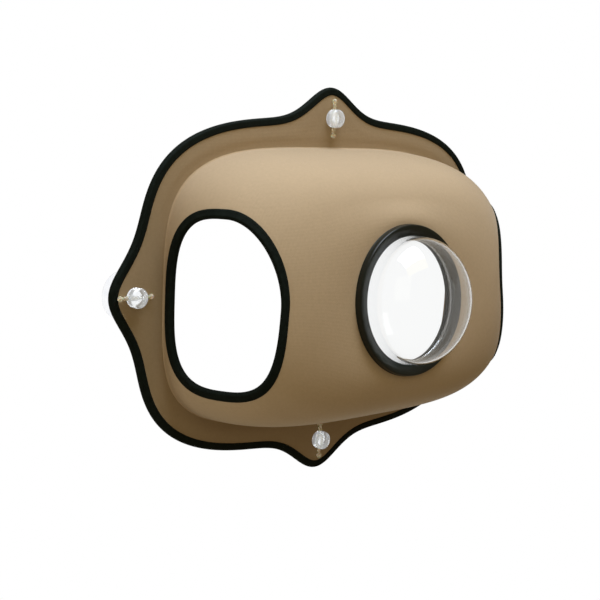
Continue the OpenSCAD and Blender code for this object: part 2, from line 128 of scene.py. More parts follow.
class DomeSizes(PropertyGroup):
    """Sizes of the clear dome, its rings and their screws"""
    radius: length("Radius", "Outer radius of the clear dome", 0.0788)
    skirt: length("Skirt", "Height of the straight skirt over the seat", 0.0185)
    rise: length("Rise", "Height of the cap over the skirt", 0.0515)
    thickness: length("Thickness", "Thickness of the clear plastic", 0.0025)
    rim: length("Rim", "Width of the rim clamped under the ring", 0.007)
    drop: length("Drop", "From the pod's middle height down to the dome's axis", 0.0042)
    ring: length("Ring width", "Outer ring beyond the dome's rim", 0.0084)
    ring_height: length("Ring height", "Height of the outer ring", 0.009)
    flange: length("Flange", "Thickness of the inner ring's flange", 0.003)
    reach: length("Reach", "How far the inner ring reaches past the outer one", 0.0016)
    screw: length("Screw", "Radius of a screw's shank", 0.00145)
    screws: IntProperty(name="Screws", description="Number of clamp screws", default=8, min=3, max=24)


class FittingSizes(PropertyGroup):
    """Sizes of the suction cups and retaining pins"""
    cup: length("Cup radius", "Radius of a cup's rim on the pane", 0.030)
    neck: length("Neck radius", "Radius of the neck through the panel", 0.00795)
    knob: length("Knob radius", "Radius of the knob", 0.012)
    knob_height: length("Knob height", "Height of the knob", 0.0135)
    knob_rise: length("Knob rise", "Gap between the panel and the knob", 0.0006)
    pin_length: length("Pin length", "Length of a pin over its balls", 0.0506)
    pin: length("Pin radius", "Radius of a pin's rod", 0.00245)
    ball: length("Ball radius", "Radius of a ball end", 0.0033)
    pin_rise: length("Pin rise", "Gap between the panel's tape and a pin's balls", 0.0004)
    gap: length("Gap", "Clearance round loose fits", 0.0003)


class CushionSizes(PropertyGroup):
    """Sizes of the loose fleece pad"""
    width: length("Width", "Width of the pad", 0.372)
    depth: length("Depth", "Depth of the pad in front of the panel", 0.104)
    height: length("Height", "Height of its crown over the bed", 0.034)
    lift: length("Lift", "Clearance of its bed over the floor", 0.0012)
    channels: IntProperty(name="Channels", description="Number of sewn channels", default=6, min=0, max=12)
    channel_depth: length("Channel depth", "Depth of a sewn channel", 0.004)


class Finishes(PropertyGroup):
    """Colours of the finishes"""
    fabric: colour("Fabric", "Tan woven face of the pod", (0.56, 0.42, 0.27))
    # Painted shade: the panel's fabric is the pod's fabric in a darker colour, standing in for the shade that
    # the panel lies in
    panel: colour("Panel fabric", "Darker tan woven face of the panel", (0.40, 0.295, 0.18))
    tape: colour("Tape", "Black binding tape", (0.0075, 0.0115, 0.009))
    plastic: colour("Ring plastic", "Satin dark plastic of the rings", (0.0095, 0.0125, 0.0095))
    dome: colour("Dome", "Clear dome", (0.97, 0.98, 0.98))
    cup: colour("Cup", "Clear soft plastic of the cups", (0.95, 0.965, 1.0))
    pin: colour("Pin", "Cream plastic of the pins", (0.97, 0.90, 0.74))
    steel: colour("Steel", "Zinc of the screws", (0.55, 0.55, 0.56))
    fleece: colour("Fleece", "Pale fleece of the pad", (0.82, 0.80, 0.77))


class WindowPodSettings(PropertyGroup):
    """All sizes and colours of the pod"""
    pod: PointerProperty(type=PodSizes)
    door: PointerProperty(type=DoorSizes)
    panel: PointerProperty(type=PanelSizes)
    dome: PointerProperty(type=DomeSizes)
    fittings: PointerProperty(type=FittingSizes)
    cushion: PointerProperty(type=CushionSizes)
    finishes: PointerProperty(type=Finishes)


def settings():
    return bpy.context.scene.window_pod


# Places, and levels worked out from the sizes

def raised(level):
    return Matrix.Translation((0, 0, level))


def turned(degrees, axis):
    return Matrix.Rotation(math.radians(degrees), 4, axis)


def panel_front():
    return settings().panel.back + settings().panel.thickness


def free_depth():
    return settings().pod.depth - settings().pod.boss


def ring_radius():
    dome = settings().dome
    return dome.radius + dome.rim + dome.ring


def seat_middle():
    s = settings()
    return np.array([0.0, -s.dome.drop, panel_front() + s.pod.depth])


def dome_place():
    return TO_WALL @ Matrix.Translation(seat_middle()) @ turned(-settings().pod.seat_lean, "X")


def cup_reach():
    s = settings()
    return s.pod.width / 2 + s.panel.side_stand_off, s.pod.height / 2 + s.panel.end_stand_off


def cup_place(side):
    x, y = cup_reach()
    at = {"top": (0, y, 0), "bottom": (0, -y, 0), "left": (-x, 0, 0), "right": (x, 0, 0)}[side]
    return TO_WALL @ Matrix.Translation(at) @ turned(EAR_TURNS[side], "Z")


def pin_level():
    s = settings()
    return panel_front() + s.door.tape_thickness + s.fittings.pin_rise + s.fittings.ball


# Arrays of points, in drawing coordinates (x, y, level) until they are stood up

def unit(v):
    return v / np.maximum(np.linalg.norm(v, axis=-1, keepdims=True), 1e-12)


def full_turn(count):
    return np.linspace(0, 2 * math.pi, count, endpoint=False)


def polar(radius, turn):
    return np.stack([radius * np.cos(turn), radius * np.sin(turn)], -1)


def at_level(flat, level):
    """Points [x, y] of an outline as [x, y, level]."""
    return np.column_stack([flat, np.broadcast_to(level, len(flat))])


def looped(points, axis=0):
    """Points with the first ones again at the end."""
    return np.concatenate([points, points.take([0], axis)], axis)


def running(points):
    """Distance run along the rows of points, from 0 at the first."""
    steps = np.linalg.norm(np.diff(points, axis=0), axis=-1)
    return np.concatenate([np.zeros((1, *steps.shape[1:])), np.cumsum(steps, axis=0)])


def outward(outline):
    """Outward unit normals of a closed outline of [x, y] that runs anticlockwise."""
    tangent = unit(np.roll(outline, -1, 0) - np.roll(outline, 1, 0))
    return np.stack([tangent[:, 1], -tangent[:, 0]], -1)


def inset_outline(outline, by):
    return outline - outward(outline) * by


def stand_up(points):
    """Drawing coordinates (x, y, level) to the frame's (x, -level, y)."""
    points = np.asarray(points, float)
    return np.stack([points[..., 0], -points[..., 2], points[..., 1]], -1)


def arc(a, b, wide, high, turns):
    """Points round [a, b] on an ellipse of half axes wide and high, at turns in degrees."""
    return [[a + wide * math.cos(t), b + high * math.sin(t)] for t in np.radians(turns)]


def soften(points, radius, steps=3, closed=False):
    """Rounds the corners of an outline of [a, b] points."""
    points = [np.array(p, float) for p in points]
    count = len(points)
    out = []
    for i, p in enumerate(points):
        a, b = points[i - 1] - p, points[(i + 1) % count] - p
        la, lb = np.linalg.norm(a), np.linalg.norm(b)
        if min(la, lb) < 1e-9 or not closed and i in (0, count - 1):
            out.append(p)
            continue
        start, end = p + a / la * min(radius, la / 2.2), p + b / lb * min(radius, lb / 2.2)
        for t in np.arange(steps + 1) / steps:
            out.append((1 - t) ** 2 * start + 2 * t * (1 - t) * p + t * t * end)
    return out


# Meshes

@contextmanager
def editing(mesh):
    """A mesh as a bmesh, written back at the end with smooth faces."""
    bm = bmesh.new()
    bm.from_mesh(mesh)
    yield bm
    bm.to_mesh(mesh)
    bm.free()
    mesh.polygons.foreach_set("use_smooth", [True] * len(mesh.polygons))
    mesh.update()


def move_points(mesh, points):
    mesh.vertices.foreach_set("co", points.astype(np.float32).ravel())
    mesh.update()


def link(name, data):
    obj = bpy.data.objects.new(name, data)
    bpy.context.scene.collection.objects.link(obj)
    return obj


def grid_object(name, points, uv=None, close_rows=False, close_cols=False, keep=None, tidy=True):
    """Mesh over an array of points (rows, columns, 3). uv holds one more row or column where the
    grid closes. keep is a mask of the cells that stay. tidy merges doubles and turns faces out."""
    rows, cols = points.shape[:2]
    r = np.arange(rows if close_rows else rows - 1)
    c = np.arange(cols if close_cols else cols - 1)
    rr, cc = np.meshgrid(r, c, indexing="ij")
    if keep is not None:
        rr, cc = rr[keep], cc[keep]
    rr, cc = rr.ravel(), cc.ravel()
    r2, c2 = (rr + 1) % rows, (cc + 1) % cols
    faces = np.stack([rr * cols + cc, rr * cols + c2, r2 * cols + c2, r2 * cols + cc], 1)
    mesh = bpy.data.meshes.new(name)
    mesh.from_pydata(points.reshape(-1, 3).tolist(), [], faces.tolist())
    if uv is not None:
        corners = np.stack([uv[rr, cc], uv[rr, cc + 1], uv[rr + 1, cc + 1], uv[rr + 1, cc]], 1)
        mesh.uv_layers.new(name="UVMap").data.foreach_set("uv", corners.astype(np.float32).ravel())
    if tidy:
        with editing(mesh) as bm:
            bmesh.ops.remove_doubles(bm, verts=bm.verts, dist=SAME_POINT)
            bmesh.ops.dissolve_degenerate(bm, edges=bm.edges, dist=NO_EDGE)
            bmesh.ops.recalc_face_normals(bm, faces=bm.faces)
    return link(name, mesh)


def revolve(name, profile, place, count=96, closed=False):
    """Turns a profile of [radius, height] round the axis of place. An end on the axis is a pole.
    The UV runs round and along the profile, in metres."""
    profile = np.array(profile, float)
    ring = polar(profile[:, :1], full_turn(count))
    points = np.concatenate([ring, np.repeat(profile[:, 1:, None], count, 1)], -1)
    around = np.arange(count + 1) * 2 * math.pi * profile[:, 0].max() / count
    uv = np.stack(np.meshgrid(around, running(looped(profile) if closed else profile)), -1)
    matrix = np.array(place)
    points = points @ matrix[:3, :3].T + matrix[:3, 3]
    return grid_object(name, points, uv, close_rows=closed, close_cols=True)


def plain_copy(obj):
    """The evaluated object as a plain mesh, in place of the object and its modifiers."""
    depsgraph = bpy.context.evaluated_depsgraph_get()
    mesh = bpy.data.meshes.new_from_object(obj.evaluated_get(depsgraph), depsgraph=depsgraph)
    name, old = obj.name, obj.data
    bpy.data.objects.remove(obj)
    if old.users == 0:
        bpy.data.meshes.remove(old)
    mesh.name = name
    return link(name, mesh)


def grown(obj, tree, values):
    """The plain mesh that a Geometry Nodes group makes of an object, given its named inputs."""
    modifier = obj.modifiers.new(tree.name, "NODES")
    modifier.node_group = tree
    for socket in tree.interface.items_tree:
        if socket.in_out == "INPUT" and socket.name in values:
            modifier[socket.identifier] = values[socket.name]
    return plain_copy(obj)


def add_rod(bm, radius, depth, place, segments):
    bmesh.ops.create_cone(bm, cap_ends=True, segments=segments, radius1=radius, radius2=radius,
                          depth=depth, matrix=place)


def carved(obj, bm, crossing=False):
    """The object as a plain mesh with the shapes in bm cut out, crossing if they overlap."""
    mesh = bpy.data.meshes.new("cutter")
    bm.to_mesh(mesh)
    bm.free()
    cutter = link("cutter", mesh)
    cut = obj.modifiers.new("Cut", "BOOLEAN")
    cut.object = cutter
    cut.operation = "DIFFERENCE"
    cut.solver = "EXACT"
    cut.use_self = crossing
    obj = plain_copy(obj)
    bpy.data.objects.remove(cutter)
    return obj


def finish_piece(obj, look, solid, body="pod"):
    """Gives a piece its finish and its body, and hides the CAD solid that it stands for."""
    obj.data.materials.clear()
    obj.data.materials.append(finish(look))
    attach(obj, body)
    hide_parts(solid)


# Nodes

def feed(tree, value, socket):
    """Sets a socket to a value, or wires another socket or a node's first output into it."""
    if isinstance(value, bpy.types.Node):
        value = next(output for output in value.outputs if output.enabled)
    if isinstance(value, bpy.types.NodeSocket):
        tree.links.new(value, socket)
    else:
        socket.default_value = value


def node(tree, kind, **values):
    """A new node, each value an option of it or what feeds the input of that name."""
    made = tree.nodes.new(kind)
    for key, value in values.items():
        if hasattr(made, key):
            setattr(made, key, value)
        else:
            feed(tree, value, made.inputs[key.replace("_", " ")])
    return made


def math_node(tree, operation, a, b):
    made = node(tree, "ShaderNodeMath", operation=operation)
    for value, socket in zip((a, b), made.inputs):
        feed(tree, value, socket)
    return made


def new_tree(name, **inputs):
    """A Geometry Nodes group with named inputs and one geometry output, and its entry's sockets."""
    tree = bpy.data.node_groups.new(name, "GeometryNodeTree")
    for label, kind in inputs.items():
        tree.interface.new_socket(name=label, in_out="INPUT", socket_type="NodeSocket" + kind)
    tree.interface.new_socket(name="Geometry", in_out="OUTPUT", socket_type="NodeSocketGeometry")
    return tree, tree.nodes.new("NodeGroupInput").outputs


def set_on(tree, look, **parts):
    """Ends a Geometry Nodes group: an instance on each point, realized and given its finish."""
    placed = node(tree, "GeometryNodeInstanceOnPoints", **parts)
    real = node(tree, "GeometryNodeRealizeInstances", Geometry=placed)
    painted = node(tree, "GeometryNodeSetMaterial", Geometry=real, Material=finish(look))
    node(tree, "NodeGroupOutput", Geometry=painted)
    return tree


# Finishes

def new_finish(name, base):
    """A material with one Principled shader of a base colour, and the shader."""
    material = bpy.data.materials.new(name + "_finish")
    material.use_nodes = True
    material.diffuse_color = (*base, 1)
    shader = material.node_tree.nodes["Principled BSDF"]
    set_sockets(shader, Base_Color=(*base, 1))
    return material, shader


def set_sockets(shader, **values):
    for key, value in values.items():
        shader.inputs[key.replace("_", " ")].default_value = value


def object_noise(tree, scale, detail=3.0, roughness=0.55):
    place = node(tree, "ShaderNodeTexCoord").outputs["Object"]
    return node(tree, "ShaderNodeTexNoise", Vector=place, Scale=scale, Detail=detail, Roughness=roughness)


def ribs(tree, direction, period, distortion=0.0):
    """Sine ribs across one direction of the UV map, period in metres."""
    wave = node(tree, "ShaderNodeTexWave", wave_type="BANDS", bands_direction=direction,
                Vector=node(tree, "ShaderNodeUVMap", uv_map="UVMap"),
                Scale=2 * math.pi / (20 * period), Distortion=distortion)
    return wave.outputs["Fac"]


def tinted(tree, shader, factor, spread):
    """Varies the base colour about its mean by a noise factor."""
    socket = shader.inputs["Base Color"]
    base = socket.default_value[:3]
    ramp = node(tree, "ShaderNodeValToRGB", Fac=factor)
    for end, position, share in zip(ramp.color_ramp.elements, (0.3, 0.7), (1 - spread, 1 + spread)):
        end.position = position
        end.color = (*[min(1, c * share) for c in base], 1)
    feed(tree, ramp, socket)


def bump(tree, shader, *layers):
    """Bumps the shader's surface by layers of (height, distance, strength), each over the last."""
    below = None
    for height, distance, strength in layers:
        made = node(tree, "ShaderNodeBump", Height=height, Distance=distance, Strength=strength)
        if below:
            feed(tree, below, made.inputs["Normal"])
        below = made
    feed(tree, below, shader.inputs["Normal"])


def woven_fabric(tree, shader, period=0.0017):
    """Fine plain weave with a brushed face: crossed ribs, soft mottling and a little sheen."""
    set_sockets(shader, Roughness=0.82, Sheen_Weight=0.5, Sheen_Roughness=0.3, Specular_IOR_Level=0.25)
    warp, weft = ribs(tree, "X", period, 0.6), ribs(tree, "Y", period, 0.6)
    weave = math_node(tree, "MAXIMUM", math_node(tree, "MULTIPLY", warp, 0.9), weft)
    mottle, cloud = object_noise(tree, 240.0, 4.0, 0.7), object_noise(tree, 14.0, 2.0, 0.5)
    parts = [math_node(tree, "MULTIPLY", noise, share) for noise, share in ((mottle, 0.75), (cloud, 0.25))]
    tinted(tree, shader, math_node(tree, "ADD", *parts), 0.05)
    bump(tree, shader, (weave, 0.00022, 0.55), (mottle, 0.0004, 0.3))


def ribbed_tape(tree, shader):
    """Black grosgrain tape: fine ribs across its length and a slightly dusty face."""
    set_sockets(shader, Roughness=0.7, Sheen_Weight=0.01, Sheen_Roughness=0.4, Specular_IOR_Level=0.08)
    dust = object_noise(tree, 160.0)
    tinted(tree, shader, dust, 0.25)
    bump(tree, shader, (ribs(tree, "X", 0.0011), 0.00016, 0.6), (dust, 0.0003, 0.25))


def satin_plastic(tree, shader):
    """Moulded plastic with a fine grain, a little more worn in places."""
    set_sockets(shader, Specular_IOR_Level=0.3, Coat_Weight=0.1, Coat_Roughness=0.25)
    wear = object_noise(tree, 60.0)
    rough = node(tree, "ShaderNodeMapRange", Value=wear, To_Min=0.28, To_Max=0.42)
    feed(tree, rough, shader.inputs["Roughness"])
    tinted(tree, shader, wear, 0.15)
    bump(tree, shader, (object_noise(tree, 900.0, 2.0), 0.00005, 0.35))


def clear_acrylic(tree, shader):
    """Clear moulded dome, with the faint ripple that thermoforming leaves."""
    set_sockets(shader, Roughness=0.015, IOR=1.49, Transmission_Weight=1.0, Sheen_Weight=0.12,
                Sheen_Roughness=0.3)
    bump(tree, shader, (object_noise(tree, 9.0, 1.0), 0.0006, 0.12))


def clear_soft_plastic(tree, shader):
    """Clear cup plastic with fine flow marks: glassy in the thin skirt, cloudy in the thick knob, with a
    painted glow in the knob.
    """
    # Emission colour of a painted glow in the knob; the cup is no lamp
    set_sockets(shader, Roughness=0.1, Subsurface_Scale=0.003, Emission_Color=(0.76, 0.88, 1.0, 1))
    split = node(tree, "ShaderNodeSeparateXYZ", Vector=node(tree, "ShaderNodeTexCoord").outputs["Object"])
    cloudy, glassy = -panel_front(), 2 * MM - settings().panel.back
    # Towards the knob: less transmission, a higher IOR, and an emission that paints a glow, fading to none in
    # the skirt
    for socket, knob, skirt in (("Transmission Weight", 0.7, 1.0), ("IOR", 1.46, 1.2),
                                ("Emission Strength", 0.16, 0.0)):
        blend = node(tree, "ShaderNodeMapRange", Value=split.outputs["Y"], From_Min=cloudy, From_Max=glassy,
                     To_Min=knob, To_Max=skirt)
        feed(tree, blend, shader.inputs[socket])
    marks = object_noise(tree, 120.0)
    tinted(tree, shader, marks, 0.05)
    bump(tree, shader, (marks, 0.0004, 0.3))


def cream_plastic(tree, shader):
    """Milky moulded plastic with faint flow marks."""
    set_sockets(shader, Roughness=0.15, IOR=1.2, Transmission_Weight=0.6, Subsurface_Weight=0.2,
                Subsurface_Scale=0.002)
    marks = object_noise(tree, 200.0, 2.0)
    tinted(tree, shader, marks, 0.06)
    bump(tree, shader, (marks, 0.0001, 0.3))


def zinc_steel(tree, shader):
    """Plated steel with a fine grain."""
    set_sockets(shader, Roughness=0.36, Metallic=1.0)
    grain = object_noise(tree, 700.0)
    tinted(tree, shader, grain, 0.12)
    bump(tree, shader, (grain, 0.00004, 0.5))


def brushed_fleece(tree, shader):
    """Fleece: short tufts in two sizes under a strong sheen."""
    set_sockets(shader, Roughness=0.95, Sheen_Weight=0.8, Sheen_Roughness=0.6, Specular_IOR_Level=0.1)
    tuft, curl = object_noise(tree, 420.0, 4.0, 0.7), object_noise(tree, 130.0, 3.0, 0.6)
    tinted(tree, shader, curl, 0.05)
    bump(tree, shader, (curl, 0.0022, 0.6), (tuft, 0.0012, 0.7))


# Each finish's maker and the colour that it takes from the settings
FINISHES = {
    "tan_fabric": (woven_fabric, "fabric"),
    # The panel's finish is the pod's woven fabric with a darker colour that paints in shade
    "panel_fabric": (woven_fabric, "panel"),
    "black_tape": (ribbed_tape, "tape"),
    "black_plastic": (satin_plastic, "plastic"),
    "clear_dome": (clear_acrylic, "dome"),
    "clear_cup": (clear_soft_plastic, "cup"),
    "pin_plastic": (cream_plastic, "pin"),
    "screw_steel": (zinc_steel, "steel"),
    "fleece": (brushed_fleece, "fleece"),
}


def finish(name):
    """The scene's own material for a slot, made once. The CAD's flat one keeps the bare name."""
    material = bpy.data.materials.get(name + "_finish")
    if material is None:
        maker, key = FINISHES[name]
        material, shader = new_finish(name, getattr(settings().finishes, key))
        maker(material.node_tree, shader)
    return material


# The pod's surface and the panel's outline

def half_width(u):
    return settings().pod.width / 2 * (1 - u ** SIDE_CURVE) ** (1 / SIDE_EDGE)


def half_height(u):
    return settings().pod.height / 2 * (1 - u ** END_CURVE) ** (1 / END_EDGE)


def corner_at(u):
    return BASE_CORNER + (FRONT_CORNER - BASE_CORNER) * u ** CORNER_BLEND


def front_slope():
    return math.tan(math.radians(settings().pod.front_lean))


def super_radius(turn, a, b, e):
    """Radius of a superellipse of half axes a and b and exponent e."""
    return ((abs(np.cos(turn)) / a) ** e + (abs(np.sin(turn)) / b) ** e) ** (-1 / e)


def pod_base(turn, grow=0.0):
    """The shell's outline on the panel, moved outwards by grow."""
    pod = settings().pod
    return polar(super_radius(turn, pod.width / 2, pod.height / 2, BASE_CORNER) + grow, turn)


def free_surface(u, turn):
    """The pod's free curve at u, from 0 at the panel, and a turn about its axis."""
    flat = polar(super_radius(turn, half_width(u), half_height(u), corner_at(u)), turn)
    level = panel_front() + u * (free_depth() - front_slope() * flat[..., 1])
    return np.concatenate([flat, level[..., None]], -1)


def seat_way(turn):
    """Unit vectors from the dome's axis along its leaning seat."""
    tilt = math.radians(settings().pod.seat_lean)
    return np.stack([np.cos(turn), np.sin(turn) * math.cos(tilt), -np.sin(turn) * math.sin(tilt)], -1)


def pod_grid(columns=320, free_rows=44, boss_rows=16, seat_rows=3):
    """Outer surface from the panel to the hole under the dome, as rows of columns."""
    s = settings()
    rise = np.sin(np.linspace(0, math.pi / 2, free_rows + 1)) * BOSS_FROM
    free = free_surface(rise[:, None], full_turn(columns)[None, :])
    end, before = free[-1], free[-2]
    way = seat_way(np.arctan2(end[:, 1] + s.dome.drop, end[:, 0]))
    boss = ring_radius() + s.pod.boss
    to = seat_middle() + boss * way
    pull = np.linalg.norm(to - end, axis=1, keepdims=True) / 3
    a, b = end + pull * unit(end - before), to + pull * way
    rows = list(free)
    for t in np.arange(1, boss_rows + 1) / boss_rows:
        q = 1 - t
        rows.append(q ** 3 * end + 3 * q * q * t * a + 3 * q * t * t * b + t ** 3 * to)
    hole = s.dome.radius + s.dome.rim + s.fittings.gap
    for k in range(1, seat_rows + 1):
        rows.append(seat_middle() + (boss + (hole - boss) * k / seat_rows) * way)
    return np.array(rows)


def panel_outline(samples=600):
    """Outline of the eared panel, with more points round the ears."""
    s = settings()
    a, b = s.pod.width / 2 + s.panel.side_border, s.pod.height / 2 + s.panel.end_border
    cup_x, cup_y = cup_reach()
    side_ear, end_ear = cup_x + s.panel.side_ear - a, cup_y + s.panel.end_ear - b
    turn = full_turn(samples)
    turn = turn - EAR_GATHER / 4 * np.sin(4 * turn)
    x, y = polar(super_radius(turn, a, b, PANEL_CORNER), turn).T
    return np.stack([x + np.sign(np.cos(turn)) * side_ear * np.exp(-(y / s.panel.ear_spread) ** 2),
                     y + np.sign(np.sin(turn)) * end_ear * np.exp(-(x / s.panel.ear_spread) ** 2)], -1)


def unrolled(rows):
    """UV that spreads the surface out from the dome, in metres."""
    turn = np.arctan2(rows[-1, :, 1], rows[-1, :, 0])
    return looped(polar(running(rows[::-1])[::-1] + ring_radius(), turn), 1)


# Doorways

# How far under the doorway's plane the shell is cut, and how near the hole its points are drawn in
CUT_REACH, BRINK = 60 * MM, 8 * MM


class Doorway:
    """The left doorway's plane, its outline, and the pod's surface under it."""

    def __init__(self, rows, samples=240):
        s = settings()
        depth = free_depth()
        back = np.array([-half_width(s.door.margin / depth), s.door.margin])
        front = np.array([-half_width(DOOR_FRONT), DOOR_FRONT * depth])
        middle = (front + back) / 2
        across, out = (front - back) / np.linalg.norm(front - back)
        self.half = np.linalg.norm(front - back) / 2
        self.origin = np.array([middle[0], -s.door.drop, panel_front() + middle[1]])
        self.right = np.array([across, 0, out])
        self.up = np.array([0.0, 1.0, 0.0])
        self.out = np.array([-out, 0, across])
        self.turn = (np.arange(samples) + 0.5) * 2 * math.pi / samples
        corner = np.array(DOOR_CORNERS)[(self.turn // (math.pi / 2)).astype(int)]
        self.outline = polar(super_radius(self.turn, self.half, s.door.height / 2, corner), self.turn)
        index = np.arange(rows.shape[0] * rows.shape[1]).reshape(rows.shape[:2])
        low, high = index[:-1], index[1:]
        faces = np.stack([low, np.roll(low, -1, 1), np.roll(high, -1, 1), high], -1).reshape(-1, 4)
        self.tree = BVHTree.FromPolygons(rows.reshape(-1, 3).tolist(), faces.tolist())

    def inset(self, by):
        """The outline moved inwards along the pod's surface, less as seen from the plane in front."""
        lead = np.maximum(0, np.cos(self.turn))
        return self.outline - outward(self.outline) * (by * (1 - DOOR_SQUEEZE * lead ** 2))[:, None]

    def plane(self, points):
        """Plane coordinates of drawing points, and their heights over the plane."""
        rel = points - self.origin
        return np.stack([rel @ self.right, rel @ self.up], -1), rel @ self.out

    def cast(self, flat):
        """Points of the pod's surface over plane coordinates."""
        out = np.empty((len(flat), 3))
        for i, (a, b) in enumerate(flat):
            start = self.origin + a * self.right + b * self.up + self.out * self.half
            hit = self.tree.ray_cast(Vector(start), Vector(-self.out))[0]
            out[i] = hit if hit is not None else start - self.out * self.half
        return out

    def surface(self, flat, step=0.003):
        """Points and smooth outward normals of the pod's surface over plane coordinates."""
        across = self.cast(flat + [step, 0]) - self.cast(flat - [step, 0])
        upward = self.cast(flat + [0, step]) - self.cast(flat - [0, step])
        return self.cast(flat), unit(np.cross(across, upward))


def nearest_on(outline, flat):
    """Signed distances of plane points from a closed outline, positive inside, and its nearest points."""
    gap, spot, inside = np.full(len(flat), 1e9), np.array(flat), np.zeros(len(flat), bool)
    for a, b in zip(outline, np.roll(outline, -1, 0)):
        edge = b - a
        t = np.clip(((flat - a) @ edge) / (edge @ edge), 0, 1)
        at = a + t[:, None] * edge
        reach = np.linalg.norm(flat - at, axis=1)
        spot[reach < gap] = at[reach < gap]
        gap = np.minimum(gap, reach)
        crosses = (a[1] > flat[:, 1]) != (b[1] > flat[:, 1])
        with np.errstate(divide="ignore", invalid="ignore"):
            inside ^= crosses & (flat[:, 0] < edge[0] * (flat[:, 1] - a[1]) / edge[1] + a[0])
    return np.where(inside, gap, -gap), spot


def cut_doorway(rows, door, flip):
    """Mask of the cells that stay, with the points round the hole drawn onto its edge."""
    size = settings().door
    flat, height = door.plane((rows * flip).reshape(-1, 3))
    edge = door.inset(size.tape - DOOR_TUCK_SHARE * size.tape_thickness)
    near = (height > -CUT_REACH) & (abs(flat[:, 0]) < door.half) & (abs(flat[:, 1]) < size.height / 2)
    depth = np.full(len(flat), -1.0)
    depth[near] = nearest_on(edge, flat[near])[0]
    depth = depth.reshape(rows.shape[:2])
    beside = np.roll(depth, -1, 1)
    keep = (np.stack([depth[:-1], beside[:-1], depth[1:], beside[1:]]) < 0).sum(0) >= 2
    # Points of kept cells that lie inside the hole, or on its brink, go to the edge
    brink = np.zeros(rows.shape[:2], bool)
    for shift in ((0, 0), (0, 1), (1, 0), (1, 1)):
        kept = np.roll(np.vstack([keep, keep[-1:]]), shift, (0, 1))
        brink |= (kept & (depth > 0)) | (~kept & (depth < 0) & (depth > -BRINK))
    moved = rows.copy()
    moved[brink] = door.cast(nearest_on(edge, flat.reshape(*brink.shape, 2)[brink])[1]) * flip
    return keep, moved


# Tapes and stitches

# Each tape's section in shares of its thickness: its leg as (in from the edge, height over the face),
# how far its fold starts before its width ends, how far the fold bulges, and how far its sides stand off
DOOR_TAPE_SHARES = ((0, -0.6), (0.1, 0.3), (0.5, 0.85), (1.5, 1.05), (4, 1.15), (7.5, 1.2)), 2.4, 2.6, 1.2
PANEL_TAPE_SHARES = ((0, -0.4), (0.2, 0.5), (0.9, 0.95), (2.5, 1.1), (6, 1.15)), 3, 3, 1.1
# Likewise the edge hidden in each tape, and the row of stitches: in from the tape's edge, and its heights
DOOR_TUCK_SHARE, PANEL_TUCK_SHARE = 2.5, 2.2
SEAM_SHARE, DOOR_SEAM_RISE_SHARE, PANEL_SEAM_RISE_SHARE = 2.6, 1.15, 1.1
STITCH = {"Pitch": 4.2 * MM, "Length": 3 * MM, "Width": 0.8 * MM, "Height": 0.7 * MM}


def tape_section(shares, foam, step):
    """Section of a tape folded over a foam's edge, as [in from the tape's edge, height over the face]."""
    thick = settings().door.tape_thickness
    legs, fold, nose, side = shares
    leg = [[a * thick, b * thick] for a, b in legs]
    bend = arc(settings().door.tape - fold * thick, -foam / 2, nose * thick, foam / 2 + side * thick,
               range(90, -91, -step))
    return leg + bend + [[a, -foam - b] for a, b in reversed(leg)]


def sweep_uv(points):
    """UV of a closed sweep (rows along it, columns round its section), in metres."""
    lead = points[:, points.shape[1] // 4]
    return np.stack(np.meshgrid(running(looped(lead)), running(looped(points[0])), indexing="ij"), -1)


def swept(outline, section):
    """Grid of a section of [inset, level] swept along a flat outline, stood up."""
    rings = [at_level(inset_outline(outline, by), level) for by, level in section]
    return stand_up(np.array(rings).transpose(1, 0, 2))


def swept_piece(name, points, look, solid):
    """A closed sweep as a piece of the pod's body."""
    piece = grid_object(name, points, sweep_uv(points), close_rows=True, close_cols=True)
    finish_piece(piece, look, solid)


def stitch_tree():
    """Geometry Nodes that set one stitch on each step along a line, lying on its surface."""
    tree, entry = new_tree("stitch_row", Geometry="Geometry", Pitch="Float", Length="Float",
                           Width="Float", Height="Float")
    line = node(tree, "GeometryNodeMeshToCurve", Mesh=entry["Geometry"])
    steps = node(tree, "GeometryNodeResampleCurve", mode="LENGTH", Curve=line, Length=entry["Pitch"])
    way = node(tree, "GeometryNodeInputTangent")
    lift = node(tree, "GeometryNodeInputNamedAttribute", data_type="FLOAT_VECTOR", Name="lift")
    along = node(tree, "FunctionNodeAlignRotationToVector", axis="X", Vector=way)
    turn = node(tree, "FunctionNodeAlignRotationToVector", axis="Z", pivot_axis="X", Rotation=along,
                Vector=lift)
    bead = node(tree, "GeometryNodeMeshUVSphere", Segments=8, Rings=5, Radius=0.5)
    smooth = node(tree, "GeometryNodeSetShadeSmooth", Geometry=bead)
    size = node(tree, "ShaderNodeCombineXYZ", X=entry["Length"], Y=entry["Width"], Z=entry["Height"])
    return set_on(tree, "black_tape", Points=steps, Instance=smooth, Rotation=turn, Scale=size)


def stitch_rows(name, lines, solid):
    """One piece of stitches along closed lines, each given as (points, surface normals)."""
    verts, edges, lifts = [], [], []
    for points, normals in lines:
        start, count = len(verts), len(points)
        verts += points.tolist()
        lifts += normals.tolist()
        edges += [(start + i, start + (i + 1) % count) for i in range(count)]
    mesh = bpy.data.meshes.new(name)
    mesh.from_pydata(verts, edges, [])
    mesh.attributes.new("lift", "FLOAT_VECTOR", "POINT").data.foreach_set("vector", np.ravel(lifts))
    finish_piece(grown(link(name, mesh), stitch_tree(), STITCH), "black_tape", solid)


# Operators, each with the sizes that belong to its pieces alone

# The sewing lip's section as (out from the shell, height) in shares of the lip
LIP_SHARES = ((1, 0), (1, 1), (0.45, 1.05), (0.08, 1.7))
LIP_TOP_SHARE, LIP_BACK, LIP_TUCK, LIP_ROUND = 3.4, 0.1 * MM, 1.2 * MM, 0.7 * MM


